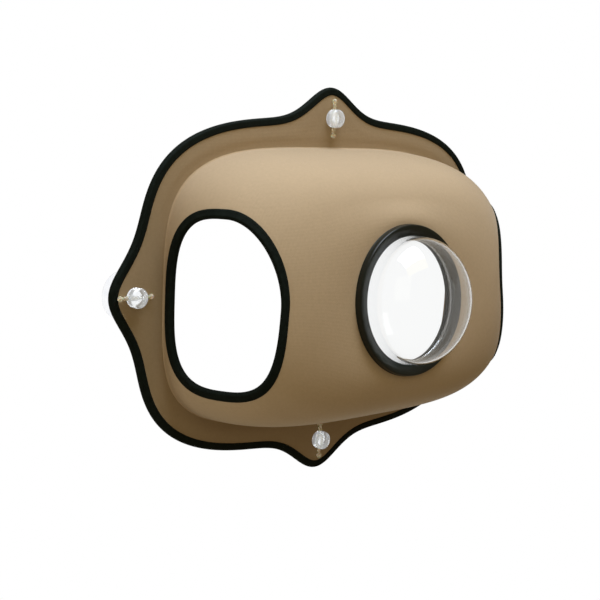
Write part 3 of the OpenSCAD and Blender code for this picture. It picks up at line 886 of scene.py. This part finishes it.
class WINPOD_OT_shell(Operator):
    """Make the moulded shell with its sewing lip"""
    bl_idname = "winpod.shell"
    bl_label = "Pod shell"

    def execute(self, context):
        pod = settings().pod
        rows = pod_grid()
        door = Doorway(rows)
        keep_left, moved = cut_doorway(rows, door, np.array([1, 1, 1]))
        keep_right, moved = cut_doorway(moved, door, np.array([-1, 1, 1]))
        shell = grid_object("shell_skin", stand_up(moved), unrolled(rows), close_cols=True,
                            keep=keep_left & keep_right, tidy=False)
        with editing(shell.data) as bm:
            bmesh.ops.delete(bm, geom=[v for v in bm.verts if not v.link_faces], context="VERTS")
            bmesh.ops.remove_doubles(bm, verts=bm.verts, dist=CUT_POINT)
            bmesh.ops.dissolve_degenerate(bm, edges=bm.edges, dist=CUT_POINT)
            if sum(f.normal.dot(f.calc_center_median()) for f in bm.faces) < 0:
                bmesh.ops.reverse_faces(bm, faces=bm.faces)
        wall = shell.modifiers.new("Wall", "SOLIDIFY")
        wall.thickness = pod.wall
        wall.offset = -1
        wall.use_even_offset = True
        finish_piece(plain_copy(shell), "tan_fabric", "pod_shell")

        top = LIP_TOP_SHARE * pod.lip_height
        section = [[-LIP_TUCK, 0]] + [[a * pod.lip, b * pod.lip_height] for a, b in LIP_SHARES]
        section = soften(section + [[-LIP_BACK, top], [-LIP_TUCK, top]], LIP_ROUND, closed=True)
        section = [[-out, panel_front() + high] for out, high in section]
        swept_piece("shell_sewing_lip", swept(pod_base(full_turn(480)), section), "tan_fabric", "pod_shell")
        return {"FINISHED"}


class WINPOD_OT_doorways(Operator):
    """Make the black tape round both doorways, with its stitches"""
    bl_idname = "winpod.doorways"
    bl_label = "Doorway bindings"

    def execute(self, context):
        wall, thick = settings().pod.wall, settings().door.tape_thickness
        door = Doorway(pod_grid())
        rings = []
        for by, high in tape_section(DOOR_TAPE_SHARES, wall, 15):
            point, normal = door.surface(door.inset(by))
            rings.append(point + normal * high)
        points = np.array(rings).transpose(1, 0, 2)
        line, normal = door.surface(door.inset(SEAM_SHARE * thick))
        rise = DOOR_SEAM_RISE_SHARE * thick
        for side, flip in (("left", [1, 1, 1]), ("right", [-1, 1, 1])):
            solid = side + "_doorway_binding"
            swept_piece(side + "_doorway_tape", stand_up(points * flip), "black_tape", solid)
            seams = [(stand_up((line + normal * high) * flip), stand_up(normal * way * flip))
                     for high, way in ((rise, 1), (-wall - rise, -1))]
            stitch_rows(side + "_doorway_stitches", seams, solid)
        return {"FINISHED"}


# Flat stretch beside each edge of the panel, and the run over which the foam then swells
OUTER_FLAT, OUTER_RUN = 9 * MM, 14 * MM
INNER_FLAT, INNER_RUN = 10 * MM, 12 * MM
PANEL_ROWS, DRILL = 22, 30 * MM


class WINPOD_OT_panel(Operator):
    """Make the eared foam panel, with the pod's opening and the four cup holes"""
    bl_idname = "winpod.panel"
    bl_label = "Panel"

    def execute(self, context):
        s = settings()
        outer = inset_outline(panel_outline(), PANEL_TUCK_SHARE * s.door.tape_thickness)
        inner = pod_base(np.arctan2(outer[:, 1], outer[:, 0]), -s.pod.wall)
        front, back = [], []
        for t in np.linspace(0, 1, PANEL_ROWS):
            flat = inner + (outer - inner) * t
            from_outer, from_inner = (np.linalg.norm(flat - edge, axis=1) for edge in (outer, inner))
            swell = np.clip((from_outer - OUTER_FLAT) / OUTER_RUN, 0, 1)
            swell = swell * np.clip((from_inner - INNER_FLAT) / INNER_RUN, 0, 1)
            front.append(at_level(flat, panel_front() + s.panel.puff * swell * swell * (3 - 2 * swell)))
            back.append(at_level(flat, s.panel.back))
        rows = stand_up(front + back[::-1])
        uv = looped(looped(rows[..., [0, 2]]), 1)
        panel = grid_object("panel_face", rows, uv, close_rows=True, close_cols=True)
        bm = bmesh.new()
        middle = s.panel.back + s.panel.thickness / 2
        for side in SIDES:
            add_rod(bm, s.fittings.neck + s.fittings.gap, DRILL, cup_place(side) @ raised(middle), 48)
        # The panel's darker fabric colour is painted shade
        finish_piece(carved(panel, bm), "panel_fabric", "back_panel")
        return {"FINISHED"}


class WINPOD_OT_panel_binding(Operator):
    """Make the black tape round the panel, with its stitches"""
    bl_idname = "winpod.panel_binding"
    bl_label = "Panel binding"

    def execute(self, context):
        door, panel = settings().door, settings().panel
        section = [[door.tape - by, panel_front() + high]
                   for by, high in tape_section(PANEL_TAPE_SHARES, panel.thickness, 12)]
        outline = panel_outline()
        swept_piece("panel_tape", swept(outline, section), "black_tape", "panel_binding")
        line = inset_outline(outline, door.tape - SEAM_SHARE * door.tape_thickness)
        rise = PANEL_SEAM_RISE_SHARE * door.tape_thickness
        seams = [(stand_up(at_level(line, level)), stand_up(np.tile([0, 0, way], (len(line), 1))))
                 for level, way in ((panel_front() + rise, 1), (panel.back - rise, -1))]
        stitch_rows("panel_stitches", seams, "panel_binding")
        return {"FINISHED"}


# Points of the fillet between the dome's rim and its skirt, and the dome's small edges
DOME_FILLET = ((0.8 * MM, 0), (0.2 * MM, 0.3 * MM), (0, 1 * MM))
DOME_EDGE, DOME_INNER_EDGE, SKIRT_SHARE = 0.2 * MM, 0.4 * MM, 0.6


def cap(radius, foot, rise):
    """Elliptical cap, from its foot to its top on the axis."""
    return arc(0, foot, radius, rise, np.linspace(0, 90, 40)[:-1]) + [[0, foot + rise]]


class WINPOD_OT_dome(Operator):
    """Make the clear dome"""
    bl_idname = "winpod.dome"
    bl_label = "Clear dome"

    def execute(self, context):
        d = settings().dome
        rim, bore, thick = d.radius + d.rim, d.radius - d.thickness, d.thickness
        outer = [[rim, DOME_EDGE], [rim, thick - DOME_EDGE], [rim - DOME_EDGE, thick]]
        outer += [[d.radius + a, thick + b] for a, b in DOME_FILLET] + [[d.radius, d.skirt * SKIRT_SHARE]]
        inner = [[bore, DOME_INNER_EDGE], [bore + DOME_INNER_EDGE, 0], [rim - DOME_EDGE, 0]]
        profile = outer + cap(d.radius, d.skirt, d.rise) + cap(bore, d.skirt, d.rise - thick)[::-1] + inner
        dome = revolve("clear_dome_skin", profile + outer[:1], dome_place(), 160)
        dome.visible_shadow = dome.visible_diffuse = False
        finish_piece(dome, "clear_dome", "bubble_dome")
        return {"FINISHED"}


# The outer ring's face as (in from its edge, height) in shares of its width and height
RING_SHARES = ((0, 0), (0, 0.14), (0.03, 0.17), (0.05, 0.84), (0.11, 0.98), (0.22, 1), (0.4, 0.96),
               (0.93, 0.74), (1, 0.6))
SEAT_GAP, SPIGOT, RING_ROUND, INNER_ROUND = 0.05 * MM, 4.5 * MM, 0.45 * MM, 0.7 * MM


class WINPOD_OT_rings(Operator):
    """Make the dark outer ring and the inner clamp ring"""
    bl_idname = "winpod.rings"
    bl_label = "Dome rings"

    def execute(self, context):
        s = settings()
        d = s.dome
        rim, outer, mouth = d.radius + d.rim, ring_radius(), d.radius + s.fittings.gap
        seat, edge, under, spigot = d.thickness + SEAT_GAP, outer + d.reach, -s.pod.wall, rim - SPIGOT
        over = [[outer - a * (outer - mouth), b * d.ring_height] for a, b in RING_SHARES]
        over += [[mouth, seat], [rim + SEAT_GAP, seat], [rim + SEAT_GAP, 0]]
        inner = [[mouth, under - d.flange], [edge, under - d.flange], [edge, under], [rim, under],
                 [rim, -SEAT_GAP], [spigot, -SEAT_GAP], [spigot, under], [mouth, under]]
        for name, section, bend, count in (("outer_ring", over, RING_ROUND, 192),
                                           ("inner_ring", inner, INNER_ROUND, 160)):
            section = soften(section, bend, 4, closed=True)
            ring = revolve(name, section, dome_place(), count, closed=True)
            finish_piece(ring, "black_plastic", "dome_" + name)
        return {"FINISHED"}


# A screw in shares of its shank's radius, and its recess in shares of (head, shank, head's height)
HEAD_SHARE, HEAD_HEIGHT_SHARE, HEAD_EDGE_SHARE = 2, 1.2, 0.25
RECESS_SHARES = (1.25, 0.42, 1.1)
SHANK = 4 * MM


def screw_head(radius):
    """Pan head with a cross recess, its bearing face at z = 0 and its top towards -z."""
    head, high = HEAD_SHARE * radius, HEAD_HEIGHT_SHARE * radius
    brim = HEAD_EDGE_SHARE * high
    pan = arc(0, -brim, head, brim - high, (70, 45, 20, 0))
    profile = [[0, -high]] + pan + [[head, 0], [radius, 0], [radius, SHANK], [0, SHANK]]
    body = revolve("screw_head", profile, Matrix.Identity(4), 28)
    bm = bmesh.new()
    long, wide, deep = (share * size for share, size in zip(RECESS_SHARES, (head, radius, high)))
    for turn in (0, 90):
        bmesh.ops.create_cube(bm, size=1, matrix=raised(-high) @ turned(turn, "Z")
                              @ Matrix.Diagonal((long, wide, deep, 1)))
    return carved(body, bm, crossing=True)


def circle_tree(item):
    """Geometry Nodes that set one item on each of a number of places round a circle."""
    tree, entry = new_tree("screw_circle", Count="Int", Radius="Float")
    circle = node(tree, "GeometryNodeMeshCircle", Vertices=entry["Count"], Radius=entry["Radius"])
    info = node(tree, "GeometryNodeObjectInfo", Object=item)
    spin = node(tree, "FunctionNodeRandomValue", data_type="FLOAT", Max=math.pi / 2, Seed=3)
    turn = node(tree, "ShaderNodeCombineXYZ", Z=spin)
    return set_on(tree, "screw_steel", Points=circle, Instance=info.outputs["Geometry"], Rotation=turn)


class WINPOD_OT_screws(Operator):
    """Make the clamp screws, seated in the inner ring"""
    bl_idname = "winpod.screws"
    bl_label = "Ring screws"

    def execute(self, context):
        s = settings()
        d = s.dome
        item = screw_head(d.screw)
        holder = link("ring_screw_set", bpy.data.meshes.new("ring_screw_set"))
        sizes = {"Count": d.screws, "Radius": d.radius + d.rim + d.ring / 2}
        screws = grown(holder, circle_tree(item), sizes)
        bpy.data.objects.remove(item)
        screws.data.transform(dome_place() @ raised(-s.pod.wall - d.flange))
        finish_piece(screws, "screw_steel", "ring_screws")
        return {"FINISHED"}


# A cup's faces as (radius, level) in shares of the rim, or of the knob, and of the gap behind the panel
CUP_UNDER_SHARES = ((0, 0.16), (0.35, 0.145), (0.6, 0.11), (0.84, 0))
CUP_SKIRT_SHARES = ((1, 0), (1, 0.07), (0.93, 0.125), (0.84, 0.18), (0.74, 0.25), (0.62, 0.34),
                    (0.53, 0.43), (0.45, 0.52))
COLLAR_SHARES = ((1.02, 0.6), (1, 0.68))
PANEL_GAP, COLLAR_EDGE, COLLAR_DROP = 0.1 * MM, 0.8 * MM, 1.2 * MM
# The knob's round edge and the dimple on its crest
KNOB_EDGE_SHARE, DIMPLE_SHARES, DIMPLE_DEPTHS = 0.25, (0.34, 0.27, 0), (0, 0.5 * MM, 0.7 * MM)
CUP_ROUND, PIN_GAP = 0.5 * MM, 0.05 * MM


class WINPOD_OT_cups(Operator):
    """Make the four clear suction cups, each with its knob and cross hole"""
    bl_idname = "winpod.cups"
    bl_label = "Suction cups"

    def execute(self, context):
        s = settings()
        f = s.fittings
        gap, foot = s.panel.back, panel_front() + f.knob_rise
        top, edge, crest = gap - PANEL_GAP, KNOB_EDGE_SHARE * f.knob, foot + f.knob_height
        profile = [[f.cup * a, gap * b] for a, b in CUP_UNDER_SHARES + CUP_SKIRT_SHARES]
        profile += [[f.knob * a, gap * b] for a, b in COLLAR_SHARES]
        profile += [[f.knob, top - COLLAR_DROP], [f.knob - COLLAR_EDGE, top], [f.neck, top], [f.neck, foot]]
        for middle, turns in ((foot + edge, range(-90, 0, 10)), (crest - edge, range(0, 91, 10))):
            profile += arc(f.knob - edge, middle, edge, edge, turns)
        profile += [[f.knob * share, crest - deep] for share, deep in zip(DIMPLE_SHARES, DIMPLE_DEPTHS)]
        profile = soften(profile, CUP_ROUND)
        hole = raised(pin_level()) @ turned(90, "X")
        for side in SIDES:
            bm = bmesh.new()
            add_rod(bm, f.pin + PIN_GAP, 3 * f.knob, hole, 40)
            cup = carved(revolve(side + "_cup", profile, Matrix.Identity(4)), bm)
            cup.data.transform(cup_place(side))
            cup.visible_diffuse = False
            finish_piece(cup, "clear_cup", side + "_suction_cup", body=side + "_cup")
        return {"FINISHED"}


# A pin's waist beside each ball and the taper before it, in shares of the rod and of the waist
WAIST_SHARE, TAPER_SHARE, TAPER_RUN_SHARE = 0.65, 0.93, 0.5


class WINPOD_OT_pins(Operator):
    """Make the four barbell pins"""
    bl_idname = "winpod.pins"
    bl_label = "Retaining pins"

    def execute(self, context):
        f = settings().fittings
        waist, tip = f.pin * WAIST_SHARE, f.pin_length / 2
        rod, run = tip - 2 * f.ball - waist, waist * TAPER_RUN_SHARE
        half = [[f.pin, 0], [f.pin, rod - waist], [f.pin * TAPER_SHARE, rod - run], [waist, rod],
                [waist, rod + run]]
        half += arc(0, tip - f.ball, f.ball, f.ball, range(-58, 85, 10)) + [[0, tip]]
        profile = [[a, -b] for a, b in reversed(half)] + half[1:]
        lay = raised(pin_level()) @ turned(-90, "X")
        for side in SIDES:
            pin = revolve(side + "_pin", profile, cup_place(side) @ lay, 56)
            finish_piece(pin, "pin_plastic", side + "_retaining_pin", body=side + "_pin")
        return {"FINISHED"}


# The pad is modelled smaller by a margin, which the cloth's pressure may fill up to its cap
PAD_MARGIN, PAD_VOXEL, PAD_PRESSURE, PAD_CAP, PAD_FRAMES = 5 * MM, 4.5 * MM, 4.0, 7 * MM, 20
PAD_CELLS, BED_GAP, FLOOR_GAP = (90, 30), 0.2 * MM, 0.4 * MM
CROWN_SHARE, BED_CURVE = 0.86, 0.5
# Sewn channels: their sharpness, how they fade at the pad's ends and sides, and the tucks along each
GROOVE, END_MARGIN, UPPER_SHARES, CHANNEL_SHARE = 10, 2 * MM, (0.45, 0.3), 1.15
TUCK_SHARE, TUCK_PITCH = 0.35, 11 * MM
# The last of the floor's curve, in shares of its depth and width, is left out
FLOOR_END_SHARE, FLOOR_SIDE_SHARE = 0.9, 0.999


def floor_height(x, level):
    """Height of the shell's inner face under a place."""
    pod = settings().pod
    u = np.clip((level - panel_front()) / (free_depth() + front_slope() * pod.height / 2), 0, FLOOR_END_SHARE)
    a, b, e = half_width(u) - pod.wall, half_height(u) - pod.wall, corner_at(u)
    return -b * (1 - np.minimum(abs(x) / a, FLOOR_SIDE_SHARE) ** e) ** (1 / e)


def points_of(obj):
    return np.array([v.co for v in obj.data.vertices])


def swollen(obj):
    """Swells a closed pad with cloth pressure, and caps how far each point may move."""
    remesh = obj.modifiers.new("Remesh", "REMESH")
    remesh.mode = "VOXEL"
    remesh.voxel_size = PAD_VOXEL
    obj = plain_copy(obj)
    rest = points_of(obj)
    cloth = obj.modifiers.new("Cloth", "CLOTH")
    cloth.settings.use_pressure = True
    cloth.settings.uniform_pressure_force = PAD_PRESSURE
    cloth.settings.effector_weights.gravity = 0
    cloth.settings.quality = 5
    cloth.point_cache.frame_start = 1
    cloth.point_cache.frame_end = PAD_FRAMES
    scene = bpy.context.scene
    for number in range(1, PAD_FRAMES + 1):
        scene.frame_set(number)
    shift = points_of(obj.evaluated_get(bpy.context.evaluated_depsgraph_get())) - rest
    obj.modifiers.remove(cloth)
    scene.frame_set(1)
    reach = np.linalg.norm(shift, axis=1, keepdims=True)
    move_points(obj.data, rest + shift * np.minimum(1, PAD_CAP / np.maximum(reach, 1e-9)))
    return obj


class WINPOD_OT_cushion(Operator):
    """Make the loose fleece pad on the pod's floor"""
    bl_idname = "winpod.cushion"
    bl_label = "Floor cushion"

    def execute(self, context):
        s = settings()
        c = s.cushion
        back, front = s.panel.back, panel_front() + c.depth
        along, deep = (np.sin(np.linspace(-math.pi / 2, math.pi / 2, cells + 1)) for cells in PAD_CELLS)
        aa, bb = np.meshgrid(along, deep, indexing="ij")
        reach = (abs(aa) ** CUSHION_CORNER + abs(bb) ** CUSHION_CORNER) ** (1 / CUSHION_CORNER)
        big = np.maximum(abs(aa), abs(bb))
        share = np.divide(big, reach, out=np.ones_like(big), where=reach > 0)
        crown = np.maximum(0, 1 - big ** CUSHION_SIDE) ** (1 / CUSHION_SIDE)
        x = aa * share * (c.width / 2 - PAD_MARGIN)
        level = (front + back) / 2 + bb * share * ((front - back) / 2 - PAD_MARGIN)
        floor = floor_height(x, level) + c.lift
        bead = c.height / 2
        top = np.stack([x, floor + bead * (1 + CROWN_SHARE * crown), level], -1)
        bed = np.stack([x, floor + bead * (1 - crown ** BED_CURVE) + BED_GAP, level], -1)
        pad = grid_object("fleece_pad", stand_up(np.concatenate([top, bed[:, -2:0:-1]], 1)), close_cols=True)
        with editing(pad.data) as bm:
            bmesh.ops.holes_fill(bm, edges=[e for e in bm.edges if e.is_boundary], sides=0)
            bmesh.ops.recalc_face_normals(bm, faces=bm.faces)
        pad = swollen(pad)
        finer = pad.modifiers.new("Finer", "SUBSURF")
        finer.levels = finer.render_levels = 1
        pad = plain_copy(pad)
        co = points_of(pad)
        floor = floor_height(co[:, 0], -co[:, 1]) + FLOOR_GAP
        place = (co[:, 0] / (c.width / 2) + 1) / 2 * c.channels
        groove = abs(np.cos(math.pi * place)) ** GROOVE
        inside = np.clip(1 - (abs(co[:, 0]) / (c.width / 2 - END_MARGIN)) ** GROOVE, 0, 1)
        low, run = (share * c.height for share in UPPER_SHARES)
        upper = np.clip((co[:, 2] - floor - low) / run, 0, 1)
        tuck = 1 + TUCK_SHARE * np.sin(co[:, 1] * 2 * math.pi / TUCK_PITCH)
        co[:, 2] -= c.channel_depth * CHANNEL_SHARE * groove * inside * upper * tuck
        co[:, 2] = np.maximum(co[:, 2], floor)
        move_points(pad.data, co)
        pad.data.polygons.foreach_set("use_smooth", [True] * len(pad.data.polygons))
        finish_piece(pad, "fleece", "floor_cushion")
        return {"FINISHED"}


# Stage: floor, lights and the camera at the photograph's angle
CAMERA_AT = (-1.1504, -1.2053, 0.2181)
CAMERA_AZIMUTH, CAMERA_ELEVATION, CAMERA_ROLL = -43.09, 8.41, 2.40
FOCAL_PIXELS, FRAME_PIXELS, SENSOR = 1258.54, 600, 36.0
FLOOR_REACH, FLOOR_LEVEL = 12.0, -1.3
LIGHT_AIM, LIGHT_REACH, LIGHT_WIDTH = Vector((0, -0.1, 0)), 2.2, 1.5
# Each light's name, azimuth and elevation in degrees, power and tint
LIGHTS = (("overhead", 0, 80, 52.0, (0.74, 0.84, 1.0)), ("top_front", 0, 62, 5.1, (1.0, 0.80, 0.20)),
          ("fill_low", -100, -35, 13.0, (0.98, 1.0, 0.94)), ("fill_left", -40, 25, 4.8, (1.0, 0.97, 0.73)))
ROOM_LIGHT = (0.215, 0.168, 0.104)


def direction(azimuth, elevation):
    """Unit vector to a place at an azimuth, from 0 in front of the pod, and an elevation."""
    turn, rise = math.radians(azimuth), math.radians(elevation)
    return Vector((math.sin(turn) * math.cos(rise), -math.cos(turn) * math.cos(rise), math.sin(rise)))


class WINPOD_OT_stage(Operator):
    """Make the pale floor, the soft lights and the camera"""
    bl_idname = "winpod.stage"
    bl_label = "Stage"

    def execute(self, context):
        scene = context.scene
        scene.view_settings.view_transform = "Standard"
        mesh = bpy.data.meshes.new("floor")
        corners = [(x * FLOOR_REACH, y * FLOOR_REACH, FLOOR_LEVEL)
                   for x, y in ((-1, -1), (1, -1), (1, 1), (-1, 1))]
        mesh.from_pydata(corners, [], [(0, 1, 2, 3)])
        floor = link("floor", mesh)
        glow, shader = new_finish("pale_floor", (0, 0, 0))
        set_sockets(shader, Roughness=1.0, Specular_IOR_Level=0.0, Emission_Strength=1.0,
                    Emission_Color=(1, 1, 1, 1))
        mesh.materials.append(glow)
        floor.visible_diffuse = floor.visible_glossy = floor.visible_transmission = False

        world = bpy.data.worlds.new("pale_room")
        scene.world = world
        world.use_nodes = True
        tree = world.node_tree
        path = node(tree, "ShaderNodeLightPath").outputs
        seen = math_node(tree, "MAXIMUM", path["Is Camera Ray"], path["Is Transmission Ray"])
        shade = node(tree, "ShaderNodeMixRGB", Fac=seen, Color1=(*ROOM_LIGHT, 1), Color2=(1, 1, 1, 1))
        sky = tree.nodes["Background"].inputs
        sky["Strength"].default_value = 1.0
        feed(tree, shade, sky["Color"])

        for name, azimuth, elevation, power, tint in LIGHTS:
            light = bpy.data.lights.new(name, "AREA")
            light.shape = "RECTANGLE"
            light.size = light.size_y = LIGHT_WIDTH
            light.energy = power
            light.color = tint
            way = direction(azimuth, elevation)
            lamp = link(name, light)
            lamp.location = LIGHT_AIM + LIGHT_REACH * way
            lamp.rotation_euler = (-way).to_track_quat("-Z", "Y").to_euler()
            lamp.visible_glossy = not name.startswith("fill")

        lens = bpy.data.cameras.new("photo_camera")
        lens.lens = SENSOR * FOCAL_PIXELS / FRAME_PIXELS
        lens.sensor_width = SENSOR
        camera = link("photo_camera", lens)
        back = direction(CAMERA_AZIMUTH, CAMERA_ELEVATION)
        right = (-back).cross(Vector((0, 0, 1))).normalized()
        level = Matrix((right, right.cross(-back), back)).transposed().to_4x4()
        camera.matrix_world = Matrix.Translation(CAMERA_AT) @ level @ turned(CAMERA_ROLL, "Z")
        scene.camera = camera
        return {"FINISHED"}


OPERATORS = (WINPOD_OT_stage, WINPOD_OT_shell, WINPOD_OT_doorways, WINPOD_OT_panel, WINPOD_OT_panel_binding,
             WINPOD_OT_dome, WINPOD_OT_rings, WINPOD_OT_screws, WINPOD_OT_cups, WINPOD_OT_pins,
             WINPOD_OT_cushion)


class WINPOD_PT_sidebar(Panel):
    """Sizes, colours and the makers of each group of pieces"""
    bl_idname = "WINPOD_PT_sidebar"
    bl_label = "Window pod"
    bl_space_type = "VIEW_3D"
    bl_region_type = "UI"
    bl_category = "Window pod"

    def draw(self, context):
        for name in WindowPodSettings.__annotations__:
            box = self.layout.box()
            box.label(text=name.capitalize())
            group = getattr(settings(), name)
            for key in group.__annotations__:
                box.prop(group, key)
        for operator in OPERATORS:
            self.layout.operator(operator.bl_idname)


CLASSES = (PodSizes, DoorSizes, PanelSizes, DomeSizes, FittingSizes, CushionSizes, Finishes,
           WindowPodSettings, *OPERATORS, WINPOD_PT_sidebar)


def register():
    for item in CLASSES:
        bpy.utils.register_class(item)
    bpy.types.Scene.window_pod = PointerProperty(type=WindowPodSettings)


def unregister():
    del bpy.types.Scene.window_pod
    for item in reversed(CLASSES):
        bpy.utils.unregister_class(item)


def main():
    register()
    for operator in OPERATORS:
        getattr(bpy.ops.winpod, operator.bl_idname.split(".")[1])()


if __name__ == "__main__":
    main()
